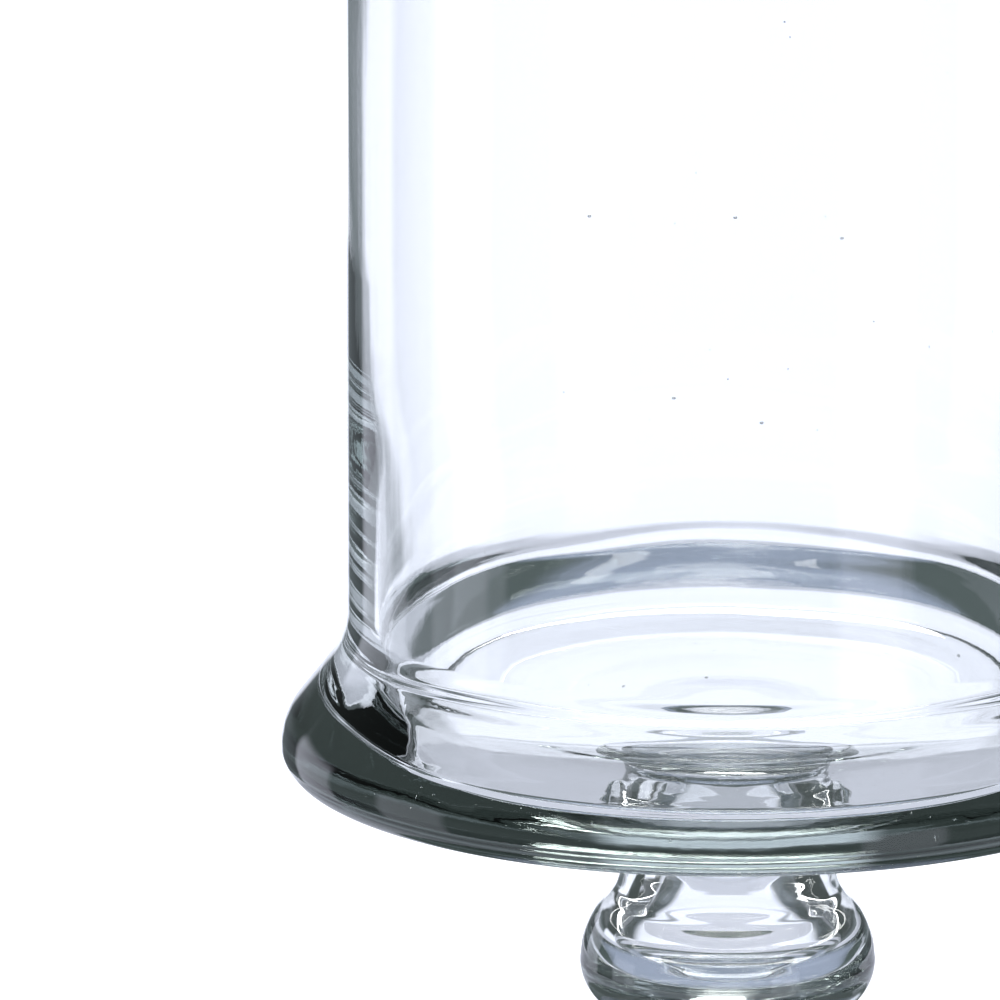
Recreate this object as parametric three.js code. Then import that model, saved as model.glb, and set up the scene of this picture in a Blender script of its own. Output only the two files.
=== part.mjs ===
// Footed glass vessel: an open straight-sided cylinder with a thick floor and a wide rounded
// ledge round its base, carried on a hollow blown knop and a round spreading foot.
// It is made as glassware is made at the furnace: five gathers of clear glass, each a solid
// of revolution, stacked on one axis and joined hot by two small wafers.
// Millimetres, +Z up, origin in the middle of the plane that the foot rests on.
import * as THREE from "three";

// ---- driving dimensions -------------------------------------------------------------
const TOTAL_HEIGHT = 308;
const SEAM_GAP = 0.3; // clearance left between one gather and the next
const SIDES = 64; // facets round the vessel and foot
const STEM_SIDES = 48; // facets round the knop and wafers

// Vessel, outside
const CYLINDER_R = 80;
const LEDGE_R = 94; // widest radius, at the ledge's equator
const LEDGE_Z = 93.5; // height of that equator
const SHOULDER_R = 13.4; // convex round on top of the ledge
const FILLET_R = 20.2; // concave sweep from the ledge up into the cylinder
const FILLET_RISE = 29.4; // height of the sweep's centre above the equator
const UNDER_ROUND_R = 9.4; // round under the ledge, across
const UNDER_ROUND_H = 6.6; // round under the ledge, down

// Vessel, inside
const RIM_R = 1.25; // fire-polished lip, half the wall
const BORE_R = CYLINDER_R - 2 * RIM_R;
const FLOOR_THICKNESS = 10.3;
const BELT_Z = 119.2; // height where the bore is narrowest
const BELT_R = 73.3; // inside radius there
const HEEL_R = 78.3; // inside radius where wall and floor meet
const HEEL_ROUND = 2.3;

// Stem
const WAFER_R = 27.5;
const UPPER_WAFER_H = 4.2;
const LOWER_WAFER_H = 3.6;
const NECK_R = 22;
const BELLY_R = 31.1;
const BELLY_DROP = 46.5; // belly below the ledge's equator
const BELLY_ROUND = 10.7;
const KNOP_END_R = 18.5; // radius where the knop meets the lower wafer
const CAVITY_NECK_R = 13.7;
const CAVITY_BELLY_R = 23.4;
const WAIST_R = 15.5;

// Foot
const FOOT_R = 73;
const FOOT_EDGE_R = 2.5; // half the thickness of the foot's rounded edge
const REST_RING_R = 48; // inside radius of the flat ring that touches the table
const KICK_H = 7; // height of the hollow under the foot

// ---- worked out from them -----------------------------------------------------------
const UNDERSIDE_Z = LEDGE_Z - UNDER_ROUND_H;
const FLOOR_Z = UNDERSIDE_Z + FLOOR_THICKNESS;
const UPPER_WAFER_TOP = UNDERSIDE_Z - SEAM_GAP;
const KNOP_TOP = UPPER_WAFER_TOP - UPPER_WAFER_H - SEAM_GAP;
const BELLY_Z = LEDGE_Z - BELLY_DROP;
const KNOP_END_Z = BELLY_Z - BELLY_ROUND;
const LOWER_WAFER_TOP = KNOP_END_Z - SEAM_GAP;
const FOOT_TOP = LOWER_WAFER_TOP - LOWER_WAFER_H - SEAM_GAP;

const point = (r, z) => new THREE.Vector2(r, z);

// Points on an elliptical arc about (r, z), from one angle to another in degrees.
function arc(r, z, across, up, from, to, steps) {
  const turn = THREE.MathUtils.degToRad;
  const curve = new THREE.EllipseCurve(r, z, across, up, turn(from), turn(to), to < from);
  return curve.getPoints(steps);
}

// A smooth curve through the given points.
const sweep = (points, steps) => new THREE.SplineCurve(points).getPoints(steps);

function glass(color) {
  return new THREE.MeshStandardMaterial({
    color, roughness: 0.03, metalness: 0, transparent: true, opacity: 0.35,
  });
}

// Turns an outline, which starts and ends on the axis, into a named solid of revolution.
function turned(name, outline, sides, color) {
  const geometry = new THREE.LatheGeometry(outline, sides).rotateX(Math.PI / 2);
  const mesh = new THREE.Mesh(geometry, glass(color));
  mesh.name = name;
  return mesh;
}

// ---- the five gathers ---------------------------------------------------------------
function vessel() {
  // The ledge's round and the sweep above it share one sloping tangent.
  const across = CYLINDER_R + FILLET_R - (LEDGE_R - SHOULDER_R);
  const reach = Math.hypot(across, FILLET_RISE);
  const lean = Math.atan2(FILLET_RISE, across) - Math.acos((SHOULDER_R + FILLET_R) / reach);
  const slope = THREE.MathUtils.radToDeg(lean);

  const outside = [
    ...arc(LEDGE_R - UNDER_ROUND_R, LEDGE_Z, UNDER_ROUND_R, UNDER_ROUND_H, -90, 0, 5),
    ...arc(LEDGE_R - SHOULDER_R, LEDGE_Z, SHOULDER_R, SHOULDER_R, 0, slope, 4).slice(1),
    ...arc(CYLINDER_R + FILLET_R, LEDGE_Z + FILLET_RISE, FILLET_R, FILLET_R, 180 + slope, 180, 5),
  ];
  const lip = arc(CYLINDER_R - RIM_R, TOTAL_HEIGHT - RIM_R, RIM_R, RIM_R, 0, 180, 4);
  const inside = sweep([
    point(BORE_R, BELT_Z + 80),
    point(BORE_R - 0.7, BELT_Z + 55),
    point(BORE_R - 2.5, BELT_Z + 33),
    point(BELT_R, BELT_Z),
    point(BELT_R + 2.6, BELT_Z - 12.8),
    point(HEEL_R, FLOOR_Z + HEEL_ROUND),
  ], 20);
  const heel = arc(HEEL_R - HEEL_ROUND, FLOOR_Z + HEEL_ROUND, HEEL_ROUND, HEEL_ROUND, 0, -90, 4);
  return turned("vessel", [
    point(0, UNDERSIDE_Z), ...outside, ...lip, ...inside, ...heel, point(0, FLOOR_Z),
  ], SIDES, 0xdfe9e8);
}

// A low round bead of glass that holds two gathers together.
function wafer(name, top, height, radius) {
  const middle = top - height / 2;
  const edge = arc(radius - height / 2, middle, height / 2, height / 2, -90, 90, 6);
  return turned(name, [point(0, top - height), ...edge, point(0, top)], STEM_SIDES, 0xcfdcdb);
}

// The knop is blown: its bubble is open at the neck, where the upper wafer closes it.
function knop() {
  const outside = [
    ...arc(BELLY_R - BELLY_ROUND, BELLY_Z, BELLY_ROUND, BELLY_ROUND, -90, 0, 7),
    ...sweep([
      point(BELLY_R, BELLY_Z), point(BELLY_R - 0.7, BELLY_Z + 4.7),
      point(BELLY_R - 2.9, BELLY_Z + 9.8), point(NECK_R + 2.8, BELLY_Z + 13.7),
      point(NECK_R + 1.1, BELLY_Z + 17.2), point(NECK_R, BELLY_Z + 24), point(NECK_R, KNOP_TOP),
    ], 15).slice(1),
  ];
  const bubble = sweep([
    point(CAVITY_NECK_R - 1.5, KNOP_TOP), point(CAVITY_NECK_R + 1, BELLY_Z + 27),
    point(CAVITY_NECK_R, BELLY_Z + 21), point(CAVITY_NECK_R + 1.4, BELLY_Z + 16),
    point(CAVITY_NECK_R + 3.4, BELLY_Z + 12), point(CAVITY_BELLY_R - 3.3, BELLY_Z + 9),
    point(CAVITY_BELLY_R - 0.3, BELLY_Z + 6), point(CAVITY_BELLY_R, BELLY_Z + 3),
    point(CAVITY_BELLY_R - 2.6, BELLY_Z - 0.8), point(CAVITY_BELLY_R / 2, BELLY_Z - 1.9),
    point(0, BELLY_Z - 2.4),
  ], 22);
  return turned("knop", [point(0, KNOP_END_Z), ...outside, ...bubble], STEM_SIDES, 0xdfe9e8);
}

function foot() {
  const edgeR = FOOT_R - FOOT_EDGE_R;
  const outside = [
    ...arc(edgeR, FOOT_EDGE_R, FOOT_EDGE_R, FOOT_EDGE_R, -90, 80, 5),
    ...sweep([
      point(edgeR - 7, FOOT_EDGE_R * 2.6), point(46, 9.6), point(30, 14.6), point(20, 20.6),
      point(WAIST_R, 27), point(WAIST_R + 0.6, FOOT_TOP),
    ], 12),
  ];
  const hollow = [point(0, KICK_H), ...sweep([
    point(REST_RING_R * 0.35, KICK_H - 1), point(REST_RING_R * 0.8, KICK_H * 0.32),
    point(REST_RING_R, 0),
  ], 5)];
  return turned("foot", [...hollow, ...outside, point(0, FOOT_TOP)], SIDES, 0xdfe9e8);
}

const part = new THREE.Group();
part.add(
  vessel(),
  wafer("upper_wafer", UPPER_WAFER_TOP, UPPER_WAFER_H, WAFER_R),
  knop(),
  wafer("lower_wafer", LOWER_WAFER_TOP, LOWER_WAFER_H, KNOP_END_R + 1.5),
  foot(),
);

export default part;
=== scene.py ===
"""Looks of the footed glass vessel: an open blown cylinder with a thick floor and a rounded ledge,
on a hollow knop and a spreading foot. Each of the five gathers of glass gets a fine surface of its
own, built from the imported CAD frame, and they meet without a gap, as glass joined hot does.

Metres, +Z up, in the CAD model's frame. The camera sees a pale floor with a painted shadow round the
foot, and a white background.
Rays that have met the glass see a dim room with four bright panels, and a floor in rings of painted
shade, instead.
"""
import math
import random

import bmesh
import bpy
from mathutils import Matrix, Vector, noise


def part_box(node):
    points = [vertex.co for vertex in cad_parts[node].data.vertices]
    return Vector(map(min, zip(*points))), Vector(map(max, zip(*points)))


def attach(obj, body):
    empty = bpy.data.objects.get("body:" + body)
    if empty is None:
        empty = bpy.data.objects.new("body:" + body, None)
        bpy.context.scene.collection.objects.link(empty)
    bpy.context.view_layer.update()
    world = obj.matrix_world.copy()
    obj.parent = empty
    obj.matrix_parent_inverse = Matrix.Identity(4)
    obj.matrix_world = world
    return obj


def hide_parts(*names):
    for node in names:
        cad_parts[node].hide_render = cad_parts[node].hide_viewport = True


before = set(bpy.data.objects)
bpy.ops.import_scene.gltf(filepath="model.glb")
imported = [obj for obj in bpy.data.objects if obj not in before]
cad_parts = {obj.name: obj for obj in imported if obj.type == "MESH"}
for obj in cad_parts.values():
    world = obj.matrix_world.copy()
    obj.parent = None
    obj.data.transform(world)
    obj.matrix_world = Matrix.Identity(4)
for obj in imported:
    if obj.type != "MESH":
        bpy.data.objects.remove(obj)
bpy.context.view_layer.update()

MM = 0.001

# ---- sizes taken from the frame -------------------------------------------------------
vessel_low, vessel_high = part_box("vessel")
upper_low, upper_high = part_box("upper_wafer")
knop_low, knop_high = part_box("knop")
lower_low, lower_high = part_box("lower_wafer")
foot_low, foot_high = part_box("foot")

UNDERSIDE = vessel_low.z
RIM_TOP = vessel_high.z
LEDGE_R = vessel_high.x
WAFER_R = upper_high.x
BELLY_R = knop_high.x
FOOT_R = foot_high.x
LOWER_WAFER_R = lower_high.x

# ---- proportions of the blown shapes --------------------------------------------------
UNDER_ROUND_R = 9.4 * MM
UNDER_ROUND_H = 6.6 * MM
LEDGE_Z = UNDERSIDE + UNDER_ROUND_H  # the ledge's equator
CYLINDER_R = LEDGE_R - 14 * MM
SHOULDER_R = 13.4 * MM
FILLET_R = 20.2 * MM
FILLET_RISE = 29.4 * MM
RIM_R = 1.25 * MM
BORE_R = CYLINDER_R - 2 * RIM_R

# The insides are only seen refracted. The sizes from here to HEEL_ROUND, the two BUBBLE radii, the
# inside points in vessel_outline, what hollowed adds to them and the points in bubble_outline all
# came from separate ray-tracing fits and were rounded. They are estimates.
FLOOR_THICKNESS = 10.3 * MM
FLOOR_TOP = UNDERSIDE + FLOOR_THICKNESS
BELT_Z = LEDGE_Z + 25.7 * MM  # where the bore is narrowest
BELT_R = 73.3 * MM
HEEL_R = 78.3 * MM
HEEL_ROUND = 2.3 * MM

BELLY_Z = LEDGE_Z - 46.5 * MM
BELLY_ROUND = 10.7 * MM
NECK_R = 22 * MM
BUBBLE_NECK_R = 13.7 * MM
BUBBLE_BELLY_R = 23.4 * MM

WAIST_R = 15.5 * MM
FOOT_EDGE_R = 2.5 * MM
REST_RING_R = 48 * MM
KICK_H = 7 * MM

# The larger bubbles in the wall: bearing from -Y in degrees, and height.
WALL_SEEDS = [(4, 181 * MM), (-9, 186 * MM), (16, 219 * MM), (-22, 223 * MM), (0, 224 * MM)]
WALL_SCATTER = 70  # how many smaller ones are scattered through the wall
FLOOR_SCATTER = 60  # and through the floor

JOIN = 0.05 * MM  # how far neighbouring gathers run into each other where they are fused
WAFER_EDGE_DEPTH = 0.1 * MM  # how uneven a wafer's edge is
FINE = 256  # segments round the vessel and foot
MEDIUM = 192  # segments round the stem

random.seed(7)


# ---- outlines -------------------------------------------------------------------------
def arc(r, z, across, up, start, end, steps):
    """Points on an elliptical arc about (r, z), from one angle to another in degrees."""
    turns = [math.radians(start + (end - start) * i / steps) for i in range(steps + 1)]
    return [(r + across * math.cos(t), z + up * math.sin(t)) for t in turns]


def line(start, end, steps):
    """Evenly spaced points between two points, without either of them."""
    shares = [i / steps for i in range(1, steps)]
    return [tuple(a + (b - a) * s for a, b in zip(start, end)) for s in shares]


def sweep(points, steps):
    """A smooth curve through the points, with a number of steps between each two."""
    ends = [Vector(p) for p in points]
    ends = [ends[0] * 2 - ends[1], *ends, ends[-1] * 2 - ends[-2]]
    curve = []
    for before, start, end, after in zip(ends, ends[1:], ends[2:], ends[3:]):
        for i in range(steps):
            t = i / steps
            curve.append(tuple(0.5 * (
                start * 2
                + (end - before) * t
                + (before * 2 - start * 5 + end * 4 - after) * t * t
                + (start * 3 - before - end * 3 + after) * t ** 3
            )))
    return [*curve, tuple(ends[-2])]


def flat_wave(x, y, z, scale, seed):
    """Smooth noise from -1 to 1, with features about scale across."""
    return noise.noise(Vector((x / scale + seed, y / scale, z / scale)))


# ---- meshes ---------------------------------------------------------------------------
def add_lathe(bm, outline_at, segments, wander=None, hollow=False):
    """Adds the closed surface that an outline makes when turned about the Z axis. outline_at(x, y)
    gives the outline in the direction x, y, always with the same number of points.
    wander(x, y, z, normal) moves each point along the outline's outward normal."""
    turns = [2 * math.pi * k / segments for k in range(segments)]
    outlines = [outline_at(math.cos(turn), math.sin(turn)) for turn in turns]
    last = len(outlines[0]) - 1
    rings = []
    for i in range(last + 1):
        ring = []
        for turn, outline in zip(turns, outlines):
            r, z = outline[i]
            before, after = outline[max(i - 1, 0)], outline[min(i + 1, last)]
            normal = Vector((after[1] - before[1], before[0] - after[0])).normalized()
            x, y = math.cos(turn), math.sin(turn)
            move = wander(x * r, y * r, z, normal) if wander else 0
            on_axis = r < 1e-9
            out = 0 if on_axis else r + normal.x * move
            ring.append(bm.verts.new((x * out, y * out, z + normal.y * move)))
            if on_axis:
                break
        rings.append(ring)
    faces = []
    for low, high in zip(rings, rings[1:]):
        for k in range(segments):
            following = (k + 1) % segments
            near = [low[0]] if len(low) == 1 else [low[k], low[following]]
            far = [high[0]] if len(high) == 1 else [high[following], high[k]]
            if len(near) + len(far) > 2:
                faces.append(bm.faces.new(near + far))
    if hollow:
        bmesh.ops.reverse_faces(bm, faces=faces)
    return faces


def add_void(bm, centre, size, segments=8):
    """Adds a small closed air bubble: an ellipsoid whose faces look inwards."""
    place = Matrix.Translation(centre) @ Matrix.Diagonal((*size, 1))
    made = bmesh.ops.create_uvsphere(
        bm, u_segments=segments, v_segments=segments // 2 + 1, radius=1, matrix=place
    )
    faces = {f for v in made["verts"] for f in v.link_faces}
    bmesh.ops.reverse_faces(bm, faces=list(faces))


def finish_piece(name, bm, material, node):
    """Turns the bmesh into a named piece that stands for a CAD node."""
    mesh = bpy.data.meshes.new(name)
    bm.to_mesh(mesh)
    bm.free()
    mesh.polygons.foreach_set("use_smooth", [True] * len(mesh.polygons))
    mesh.materials.append(material)
    piece = bpy.data.objects.new(name, mesh)
    bpy.context.scene.collection.objects.link(piece)
    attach(piece, "root")
    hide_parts(node)
    return piece


# ---- the vessel -----------------------------------------------------------------------
FRONT_FROM = 0.26  # how far towards -Y a direction points where the undercut starts to deepen
FRONT_OVER = 0.6  # and how much further it points where the undercut is at its deepest
RING_PITCH = 1.3 * MM
RING_LENGTH = 80 * MM  # how far round the vessel a tool ring keeps its depth
RING_DEPTH = 0.03 * MM


def hollowed(x, y):
    """How far the inside follows the deeper undercut on the vessel's front: 1 at -Y, 0 on the
    sides and back. The CAD model has the shallower one all round."""
    share = max(0, min(1, (-y - FRONT_FROM) / FRONT_OVER))
    return share * share * (3 - 2 * share)


def vessel_outline(x, y):
    """Up the outside and down the inside, in the direction x, y."""
    # The ledge's round and the sweep above it share one sloping tangent.
    across = CYLINDER_R + FILLET_R - (LEDGE_R - SHOULDER_R)
    reach = math.hypot(across, FILLET_RISE)
    lean = math.atan2(FILLET_RISE, across) - math.acos((SHOULDER_R + FILLET_R) / reach)
    slope = math.degrees(lean)
    outline = [(0, UNDERSIDE)]
    outline += line((0, UNDERSIDE), (LEDGE_R - UNDER_ROUND_R, UNDERSIDE), 40)
    outline += arc(LEDGE_R - UNDER_ROUND_R, LEDGE_Z, UNDER_ROUND_R, UNDER_ROUND_H, -90, 0, 28)
    outline += arc(LEDGE_R - SHOULDER_R, LEDGE_Z, SHOULDER_R, SHOULDER_R, 0, slope, 28)[1:]
    sweep_up = arc(CYLINDER_R + FILLET_R, LEDGE_Z + FILLET_RISE, FILLET_R, FILLET_R,
                   180 + slope, 180, 36)
    outline += line(outline[-1], sweep_up[0], 10) + sweep_up
    outline += line(sweep_up[-1], (CYLINDER_R, RIM_TOP - RIM_R), 70)
    outline += arc(CYLINDER_R - RIM_R, RIM_TOP - RIM_R, RIM_R, RIM_R, 0, 180, 14)
    outline += line((BORE_R, RIM_TOP - RIM_R), (BORE_R, BELT_Z + 80 * MM), 20)

    deep = hollowed(x, y)
    heel = (HEEL_R + 4.1 * MM * deep, FLOOR_TOP - 1.3 * MM * deep)
    heel_round = HEEL_ROUND + 0.6 * MM * deep
    outline += sweep([
        (BORE_R, BELT_Z + 80 * MM),
        (BORE_R - 0.7 * MM, BELT_Z + 55 * MM),
        (BORE_R - 2.3 * MM, BELT_Z + 33 * MM),
        (BELT_R, BELT_Z + 3.4 * MM * deep),
        (BELT_R + (1.0 + 0.9 * deep) * MM, BELT_Z - (6.6 - 2.1 * deep) * MM),
        (BELT_R + (2.6 + 4.1 * deep) * MM, BELT_Z - (13.1 - 0.7 * deep) * MM),
        (heel[0], heel[1] + heel_round),
    ], 14)
    outline += arc(heel[0] - heel_round, heel[1] + heel_round, heel_round, heel_round, 0, -90, 12)[1:]
    edge = heel[0] - heel_round
    for i in range(1, 40):
        share = 1 - i / 40
        outline.append((edge * share, FLOOR_TOP + (heel[1] - FLOOR_TOP) * share ** 2))
    outline.append((0, FLOOR_TOP))
    return outline


def tool_rings(x, y, z, seed):
    """Fine rings left by the jack as the ledge was shaped, from -1 to 1. They come and go round
    the vessel."""
    along = (0.6 * math.hypot(x, y) + z) / RING_PITCH
    return noise.noise(Vector((along, x / RING_LENGTH + seed, y / RING_LENGTH)))


def vessel_wander(x, y, z, normal):
    """The slight unevenness of hand-blown glass. Outside, it only takes glass away."""
    if z > RIM_TOP - 4 * MM:
        return 0
    r = math.hypot(x, y)
    inside = (normal.x < 0 and z > FLOOR_TOP) or (normal.y > 0.5 and r < HEEL_R and z < BELT_Z)
    low = max(0, min(1, (BELT_Z + 6 * MM - z) / (10 * MM)))  # 1 round the ledge, 0 up the wall
    if inside:
        heel = low * max(0, min(1, (r - 60 * MM) / (12 * MM)))  # 0 on the floor's middle
        sway = 0.16 * flat_wave(x, y, z * 0.6, 34 * MM, 3)
        sway += 0.015 * flat_wave(x, y, z * 0.4, 9 * MM, 8)
        return sway * MM + RING_DEPTH * heel * tool_rings(x, y, z, 31)
    if r < 40 * MM:
        return 0
    sway = 0.14 + 0.10 * flat_wave(x, y, z * 0.6, 40 * MM, 14)
    return -sway * MM - RING_DEPTH * low * tool_rings(x, y, z, 17)


def make_vessel(material):
    bm = bmesh.new()
    for centre, size in seeds():
        add_void(bm, centre, size)
    add_lathe(bm, vessel_outline, FINE, vessel_wander)
    return finish_piece("vessel_glass_body", bm, material, "vessel")


def seeds():
    """The tiny bubbles caught in the glass: a few larger ones, then a scatter through wall and
    floor. Each is its centre and its half sizes."""
    in_the_floor = FLOOR_TOP - 4 * MM
    found = [
        (Vector((-4.5 * MM, 36 * MM, in_the_floor)), (0.45 * MM, 0.45 * MM, 0.45 * MM)),
        (Vector((52 * MM, 50 * MM, in_the_floor)), (0.4 * MM, 0.7 * MM, 0.4 * MM)),
    ]
    for bearing, height in WALL_SEEDS:
        turn = math.radians(bearing)
        r = CYLINDER_R - RIM_R
        found.append((Vector((r * math.sin(turn), -r * math.cos(turn), height)),
                      (0.4 * MM, 0.2 * MM, 0.28 * MM)))
    for _ in range(WALL_SCATTER):
        turn = random.uniform(0, 2 * math.pi)
        r = CYLINDER_R - random.uniform(0.8, 1.6) * MM
        size = random.uniform(0.06, 0.15) * MM
        height = random.uniform(BELT_Z + 20 * MM, RIM_TOP - 8 * MM)
        found.append((Vector((r * math.cos(turn), r * math.sin(turn), height)),
                      (size, size, size * random.uniform(1, 2.2))))
    for _ in range(FLOOR_SCATTER):
        turn = random.uniform(0, 2 * math.pi)
        r = 70 * MM * math.sqrt(random.random())
        size = random.uniform(0.07, 0.18) * MM
        height = FLOOR_TOP - random.uniform(2, 7) * MM
        found.append((Vector((r * math.cos(turn), r * math.sin(turn), height)),
                      (size * random.uniform(1, 2), size, size)))
    return found


# ---- the stem -------------------------------------------------------------------------
def make_wafer(name, node, low, high, radius, material):
    """A bead of glass between two gathers, pressed flat, with a tooled uneven edge."""
    height = high - low
    middle = (low + high) / 2
    outline = [(0, low)]
    outline += line((0, low), (radius - height / 2, low), 8)
    outline += arc(radius - height / 2, middle, height / 2, height / 2, -90, 90, 14)
    outline += line((radius - height / 2, high), (0, high), 8)
    outline.append((0, high))

    def wander(x, y, z, normal):
        if abs(normal.x) < 0.05:
            return 0
        wave = flat_wave(x, y, z, 5 * MM, 21) + 0.6 * flat_wave(x, y, z, 2 * MM, 5)
        return -WAFER_EDGE_DEPTH * abs(normal.x) * max(0, 0.7 + wave)

    bm = bmesh.new()
    add_lathe(bm, lambda x, y: outline, MEDIUM, wander)
    return finish_piece(name, bm, material, node)


def knop_outline():
    bottom = lower_high.z - JOIN
    top = upper_low.z + JOIN
    outline = [(0, bottom)]
    outline += line((0, bottom), (BELLY_R - BELLY_ROUND, bottom), 8)
    outline += arc(BELLY_R - BELLY_ROUND, BELLY_Z, BELLY_ROUND, BELLY_Z - bottom, -90, 0, 20)
    outline += sweep([
        (BELLY_R, BELLY_Z), (BELLY_R - 0.7 * MM, BELLY_Z + 4.7 * MM),
        (BELLY_R - 2.9 * MM, BELLY_Z + 9.8 * MM), (NECK_R + 2.8 * MM, BELLY_Z + 13.7 * MM),
        (NECK_R + 1.1 * MM, BELLY_Z + 17.2 * MM), (NECK_R, BELLY_Z + 24 * MM), (NECK_R, top),
    ], 10)[1:]
    outline += line((NECK_R, top), (0, top), 8)
    outline.append((0, top))
    return outline


def bubble_outline():
    """The air blown into the knop, closed above by the neck's solid glass."""
    return sweep([
        (0, BELLY_Z - 2.4 * MM),
        (BUBBLE_BELLY_R * 0.5, BELLY_Z - 1.9 * MM),
        (BUBBLE_BELLY_R - 2.6 * MM, BELLY_Z - 0.8 * MM),
        (BUBBLE_BELLY_R, BELLY_Z + 3 * MM),
        (BUBBLE_BELLY_R - 0.3 * MM, BELLY_Z + 6 * MM),
        (BUBBLE_BELLY_R - 3.3 * MM, BELLY_Z + 9 * MM),
        (BUBBLE_NECK_R + 3.4 * MM, BELLY_Z + 12 * MM),
        (BUBBLE_NECK_R + 1.4 * MM, BELLY_Z + 16 * MM),
        (BUBBLE_NECK_R, BELLY_Z + 21 * MM),
        (BUBBLE_NECK_R + 1 * MM, BELLY_Z + 27 * MM),
        (BUBBLE_NECK_R * 0.75, BELLY_Z + 30 * MM),
        (0, BELLY_Z + 31.8 * MM),
    ], 12)


def make_knop(material):
    def wander(x, y, z, normal):
        return -(0.05 + 0.03 * flat_wave(x, y, z, 20 * MM, 2)) * MM * abs(normal.x)

    bm = bmesh.new()
    outside, bubble = knop_outline(), bubble_outline()
    add_lathe(bm, lambda x, y: outside, MEDIUM, wander)
    add_lathe(bm, lambda x, y: bubble, MEDIUM, wander, hollow=True)
    return finish_piece("hollow_knop", bm, material, "knop")


def make_foot(material):
    edge_r = FOOT_R - FOOT_EDGE_R
    top = lower_low.z + JOIN
    outline = [(0, KICK_H)]
    outline += sweep([
        (REST_RING_R * 0.12, KICK_H - 0.1 * MM), (REST_RING_R * 0.4, KICK_H - 1.2 * MM),
        (REST_RING_R * 0.8, KICK_H * 0.32), (REST_RING_R, 0),
    ], 10)
    outline += line((REST_RING_R, 0), (edge_r, 0), 8)
    outline += arc(edge_r, FOOT_EDGE_R, FOOT_EDGE_R, FOOT_EDGE_R, -90, 80, 16)
    outline += sweep([
        (edge_r - 7 * MM, FOOT_EDGE_R * 2.6), (46 * MM, 9.6 * MM), (30 * MM, 14.6 * MM),
        (20 * MM, 20.6 * MM), (WAIST_R, 27 * MM), (WAIST_R + 0.6 * MM, top),
    ], 12)
    outline += line((WAIST_R + 0.6 * MM, top), (0, top), 8)
    outline.append((0, top))

    def wander(x, y, z, normal):
        if z < 0.5 * MM or z > top - 0.5 * MM:
            return 0
        return -(0.08 + 0.08 * flat_wave(x, y, z, 30 * MM, 4)) * MM

    bm = bmesh.new()
    add_lathe(bm, lambda x, y: outline, FINE, wander)
    return finish_piece("spreading_foot", bm, material, "foot")


# ---- materials ------------------------------------------------------------------------
def add_node(tree, kind, inputs=None, **settings):
    """Adds a shader node. An input's value is a constant or another node's output."""
    made = tree.nodes.new(kind)
    for name, value in settings.items():
        setattr(made, name, value)
    for name, value in (inputs or {}).items():
        if isinstance(value, bpy.types.NodeSocket):
            tree.links.new(value, made.inputs[name])
        else:
            made.inputs[name].default_value = value
    return made


GLASS_IOR = 1.52
GLASS_TINT = (0.52, 0.59, 0.57)
GLASS_DENSITY = 10  # how strongly the glass absorbs, per metre
VESSEL_STREAK = 0.02  # strength of the drawn streaks
STEM_STREAK = 0.008


def glass(name, streak):
    """Clear glass with faint drawn streaks in its surface, of strength streak."""
    material = bpy.data.materials.new(name)
    material.use_nodes = True
    tree = material.node_tree
    shader = tree.nodes["Principled BSDF"]
    shader.inputs["Base Color"].default_value = (1, 1, 1, 1)
    shader.inputs["Transmission Weight"].default_value = 1
    shader.inputs["IOR"].default_value = GLASS_IOR
    shader.inputs["Roughness"].default_value = 0
    place = add_node(tree, "ShaderNodeTexCoord")
    drawn = add_node(tree, "ShaderNodeMapping", {
        "Vector": place.outputs["Object"], "Scale": (260, 260, 14),
    })
    streaks = add_node(tree, "ShaderNodeTexNoise", {
        "Vector": drawn.outputs["Vector"], "Scale": 1, "Detail": 2,
    })
    bump = add_node(tree, "ShaderNodeBump", {
        "Height": streaks.outputs["Fac"], "Strength": streak, "Distance": 0.0004,
    })
    tree.links.new(bump.outputs["Normal"], shader.inputs["Normal"])
    absorption = add_node(tree, "ShaderNodeVolumeAbsorption", {
        "Color": (*GLASS_TINT, 1), "Density": GLASS_DENSITY,
    })
    tree.links.new(absorption.outputs["Volume"], tree.nodes["Material Output"].inputs["Volume"])
    return material


# ---- studio ---------------------------------------------------------------------------
WHITE = (1.18, 1.24, 1.42)  # the bright panels, and the floor further off
LILAC = (0.74, 0.78, 0.91)  # the floor round the vessel, in painted soft shade
NEAR = (0.43, 0.50, 0.66)  # the floor under the foot, in painted shade
SHADE = (0.10, 0.13, 0.13)  # the ring of shade outside the foot
SIDE = (0.19, 0.22, 0.24)  # the room between the panels, below the horizon
DARK = (0.075, 0.09, 0.09)  # and above it

# Bearings of the bright panels, clockwise from +Y, in degrees. They stand behind the vessel only for
# cameras at azimuth 0, 45, 90 and 225. From other sides the glass looks darker and greyer.
PANELS = (0, -45, -90, 135)
PANEL_FULL = 9  # how far to each side a panel has its full brightness, in degrees
PANEL_EDGE = 13.5  # and where it ends
PANEL_TOP = 12  # height where it has faded out, in degrees above the horizon
PANEL_FADE = 4  # and where it starts to fade

# Distances from the axis between which the floor seen through the glass goes from one band of painted
# shade to the next, in metres.
NEAR_TO_SHADE = (0.062, 0.08)
SHADE_TO_LILAC = (0.112, 0.122)
LILAC_TO_WHITE = (0.245, 0.275)
NEAR_FLOOR_R = 0.3  # the part of the floor that is seen through the glass
FAR_FLOOR_R = 60
PALE_PAINTED_SHADOW = (0.62, 0.63, 0.65)  # the floor as the camera sees it by the foot, darkened as painted shadow
PALE_FAR = (1.1, 1.1, 1.1)  # and further off
# distances from the axis over which the painted shadow fades into PALE_FAR, in metres
PALE_RANGE = (0.06, 0.4)
ROOM_FADE = (-6, 4)  # heights between which the room goes from SIDE to DARK, in degrees


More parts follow.
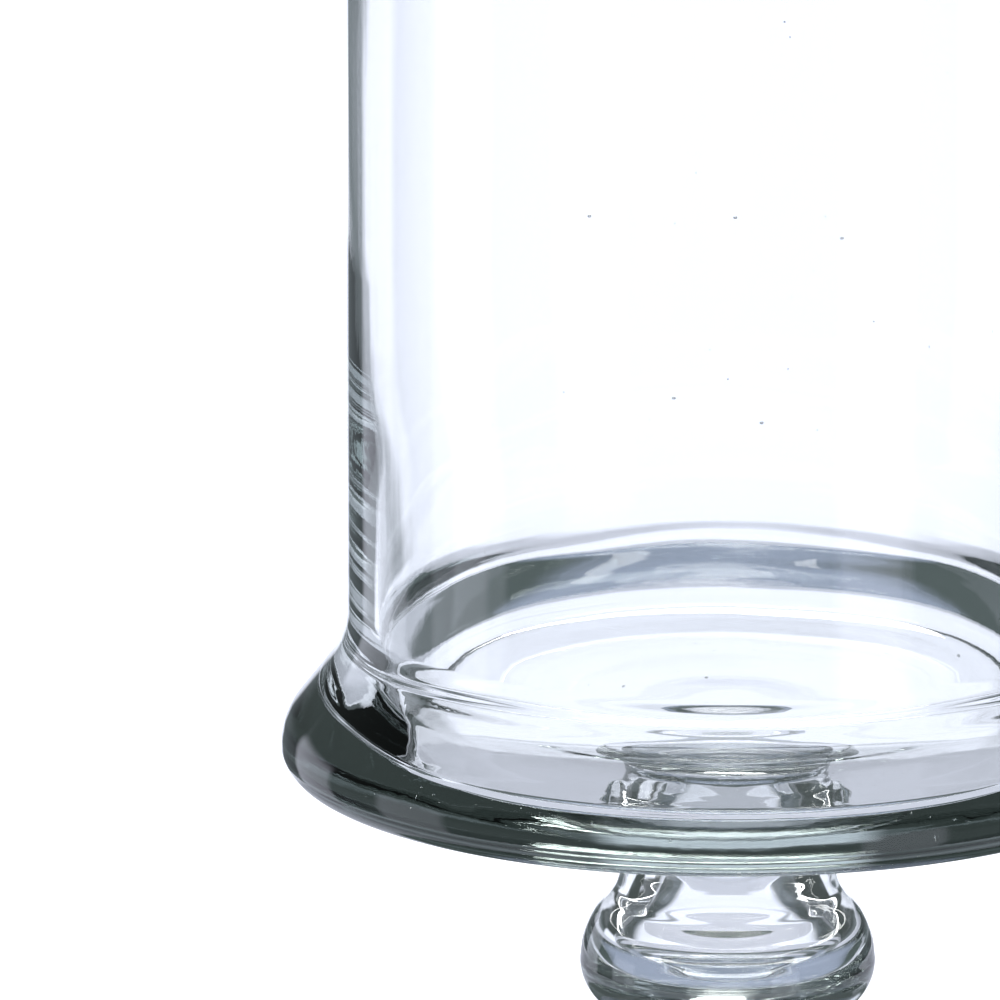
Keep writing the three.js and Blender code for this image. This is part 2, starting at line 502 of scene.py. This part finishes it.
def smooth_step(tree, value, start, end):
    """A node output that rises smoothly from 0 to 1 as value goes from start to end."""
    step = add_node(tree, "ShaderNodeMapRange", {
        "Value": value, "From Min": start, "From Max": end,
    }, interpolation_type="SMOOTHSTEP")
    return step.outputs["Result"]


def mix(tree, share, a, b):
    """A node output that goes from colour a to colour b."""
    made = add_node(tree, "ShaderNodeMix", {"Factor": share}, data_type="RGBA")
    for socket, value in ((made.inputs["A"], a), (made.inputs["B"], b)):
        if isinstance(value, bpy.types.NodeSocket):
            tree.links.new(value, socket)
        else:
            socket.default_value = (*value, 1)
    return made.outputs["Result"]


def math_node(tree, operation, *values):
    made = add_node(tree, "ShaderNodeMath", operation=operation)
    for socket, value in zip(made.inputs, values):
        if isinstance(value, bpy.types.NodeSocket):
            tree.links.new(value, socket)
        else:
            socket.default_value = value
    return made.outputs["Value"]


def facing_panel(tree, turn):
    """A node output that is 1 where the bearing turn meets a panel, and 0 between the panels."""
    edge, full = math.cos(math.radians(PANEL_EDGE)), math.cos(math.radians(PANEL_FULL))
    found = 0
    for centre in PANELS:
        aside = math_node(tree, "COSINE", math_node(tree, "SUBTRACT", turn, math.radians(centre)))
        found = math_node(tree, "MAXIMUM", found, smooth_step(tree, aside, edge, full))
    return found


def make_world():
    """A dim room with a bright panel behind the vessel for each of four ways of looking at it. The
    dim gaps between the panels draw the glass's edges. The camera itself sees plain white."""
    world = bpy.data.worlds.new("studio")
    bpy.context.scene.world = world
    world.use_nodes = True
    tree = world.node_tree
    tree.nodes.clear()
    place = add_node(tree, "ShaderNodeTexCoord")
    axes = add_node(tree, "ShaderNodeSeparateXYZ", {"Vector": place.outputs["Generated"]})
    height = math_node(tree, "ARCSINE", axes.outputs["Z"])
    turn = math_node(tree, "ARCTAN2", axes.outputs["X"], axes.outputs["Y"])
    low = smooth_step(tree, height, math.radians(PANEL_TOP), math.radians(PANEL_FADE))
    share = math_node(tree, "MULTIPLY", low, facing_panel(tree, turn))
    dim = smooth_step(tree, height, *(math.radians(limit) for limit in ROOM_FADE))
    room = mix(tree, dim, SIDE, DARK)
    seen_through = mix(tree, share, room, WHITE)
    path = add_node(tree, "ShaderNodeLightPath")
    shown = mix(tree, path.outputs["Is Camera Ray"], seen_through, (1, 1, 1))
    background = add_node(tree, "ShaderNodeBackground", {"Color": shown})
    output = add_node(tree, "ShaderNodeOutputWorld")
    tree.links.new(background.outputs["Background"], output.inputs["Surface"])


def disc(name, inner, outer, segments=96):
    """A flat ring on the floor, or a full disc where inner is 0."""
    bm = bmesh.new()
    turns = [2 * math.pi * k / segments for k in range(segments)]
    rings = [
        [bm.verts.new((r * math.cos(turn), r * math.sin(turn), 0)) for turn in turns]
        for r in (inner, outer) if r > 0
    ]
    if inner == 0:
        bm.faces.new(rings[0])
    else:
        for k in range(segments):
            following = (k + 1) % segments
            bm.faces.new([rings[0][k], rings[1][k], rings[1][following], rings[0][following]])
    mesh = bpy.data.meshes.new(name)
    bm.to_mesh(mesh)
    bm.free()
    made = bpy.data.objects.new(name, mesh)
    bpy.context.scene.collection.objects.link(made)
    return made


def make_floor():
    """A floor that the camera sees as pale, with a painted shadow round the foot. Rays that have met
    the glass see it in rings of painted shade round the foot instead."""
    material = bpy.data.materials.new("pale_floor_painted_shade")
    material.use_nodes = True
    tree = material.node_tree
    tree.nodes.clear()
    place = add_node(tree, "ShaderNodeNewGeometry")
    distance = add_node(tree, "ShaderNodeVectorMath", {"Vector": place.outputs["Position"]},
                        operation="LENGTH").outputs["Value"]
    # Rings of painted shade round the foot, which rays that have met the glass see.
    shade = mix(tree, smooth_step(tree, distance, *NEAR_TO_SHADE), NEAR, SHADE)
    shade = mix(tree, smooth_step(tree, distance, *SHADE_TO_LILAC), shade, LILAC)
    shade = mix(tree, smooth_step(tree, distance, *LILAC_TO_WHITE), shade, WHITE)
    # The floor as the camera sees it: a painted shadow round the foot, fading to plain pale further
    # off.
    pale = mix(tree, smooth_step(tree, distance, *PALE_RANGE), PALE_PAINTED_SHADOW, PALE_FAR)
    path = add_node(tree, "ShaderNodeLightPath")
    shown = mix(tree, path.outputs["Is Camera Ray"], shade, pale)
    glow = add_node(tree, "ShaderNodeEmission", {"Color": shown})
    paint = add_node(tree, "ShaderNodeBsdfDiffuse", {"Color": (0.5, 0.5, 0.52, 1)})
    only_seen = add_node(tree, "ShaderNodeMixShader", {"Fac": path.outputs["Is Camera Ray"]})
    both = add_node(tree, "ShaderNodeAddShader")
    tree.links.new(glow.outputs["Emission"], both.inputs[0])
    tree.links.new(paint.outputs["BSDF"], both.inputs[1])
    tree.links.new(glow.outputs["Emission"], only_seen.inputs[1])
    tree.links.new(both.outputs["Shader"], only_seen.inputs[2])
    output = add_node(tree, "ShaderNodeOutputMaterial")
    tree.links.new(only_seen.outputs["Shader"], output.inputs["Surface"])
    near = disc("floor_near", 0, NEAR_FLOOR_R)
    far = disc("floor_far", NEAR_FLOOR_R, FAR_FLOOR_R)
    for part in (near, far):
        part.data.materials.append(material)
    far.visible_transmission = False
    far.visible_glossy = False


LAMP_SIZE = (0.9, 0.6)
LAMP_ENERGY = 14
LAMP_PLACE = (0.1, 0.25, 1.1)
LAMP_AIM = (0, 0, 0.1)


def make_lights():
    lamp = bpy.data.lights.new("soft_top", "AREA")
    lamp.shape = "RECTANGLE"
    lamp.size = LAMP_SIZE[0]
    lamp.size_y = LAMP_SIZE[1]
    lamp.energy = LAMP_ENERGY
    holder = bpy.data.objects.new("soft_top", lamp)
    bpy.context.scene.collection.objects.link(holder)
    holder.location = LAMP_PLACE
    aim = Vector(LAMP_AIM) - holder.location
    holder.rotation_euler = aim.to_track_quat("-Z", "Y").to_euler()


# ---- camera ---------------------------------------------------------------------------
VIEW_ELEVATION = math.radians(13.5)
LENS = 630
SENSOR = 36
VIEW_WIDTH = 0.2098  # width of the view at the vessel's axis
AXIS_RIGHT = 0.0479  # how far right of the view's middle the ledge's centre stands
LEDGE_DOWN = 0.0509  # and how far below it


def make_camera():
    camera = bpy.data.cameras.new("camera")
    camera.lens = LENS
    camera.sensor_width = SENSOR
    camera.clip_start = 0.1
    camera.clip_end = 100
    holder = bpy.data.objects.new("camera", camera)
    bpy.context.scene.collection.objects.link(holder)
    forward = Vector((0, math.cos(VIEW_ELEVATION), -math.sin(VIEW_ELEVATION)))
    up = Vector((0, math.sin(VIEW_ELEVATION), math.cos(VIEW_ELEVATION)))
    right = Vector((1, 0, 0))
    aim = Vector((0, 0, LEDGE_Z)) - right * AXIS_RIGHT + up * LEDGE_DOWN
    holder.location = aim - forward * (VIEW_WIDTH * LENS / SENSOR)
    holder.rotation_euler = Matrix((right, up, -forward)).transposed().to_euler()
    bpy.context.scene.camera = holder


def set_light_paths():
    """Enough bounces for light to pass through every wall of the vessel and stem."""
    cycles = bpy.context.scene.cycles
    cycles.max_bounces = 32
    cycles.transmission_bounces = 32
    cycles.glossy_bounces = 16
    cycles.transparent_max_bounces = 16
    cycles.diffuse_bounces = 3
    bpy.context.scene.view_settings.view_transform = "Standard"


vessel_glass = glass("vessel_glass", VESSEL_STREAK)
stem_glass = glass("stem_glass", STEM_STREAK)
make_vessel(vessel_glass)
make_wafer("upper_wafer_bead", "upper_wafer", upper_low.z, UNDERSIDE + JOIN, WAFER_R, stem_glass)
make_knop(stem_glass)
make_wafer("lower_wafer_bead", "lower_wafer", lower_low.z, lower_high.z, LOWER_WAFER_R, stem_glass)
make_foot(stem_glass)
make_world()
make_floor()
make_lights()
make_camera()
set_light_paths()
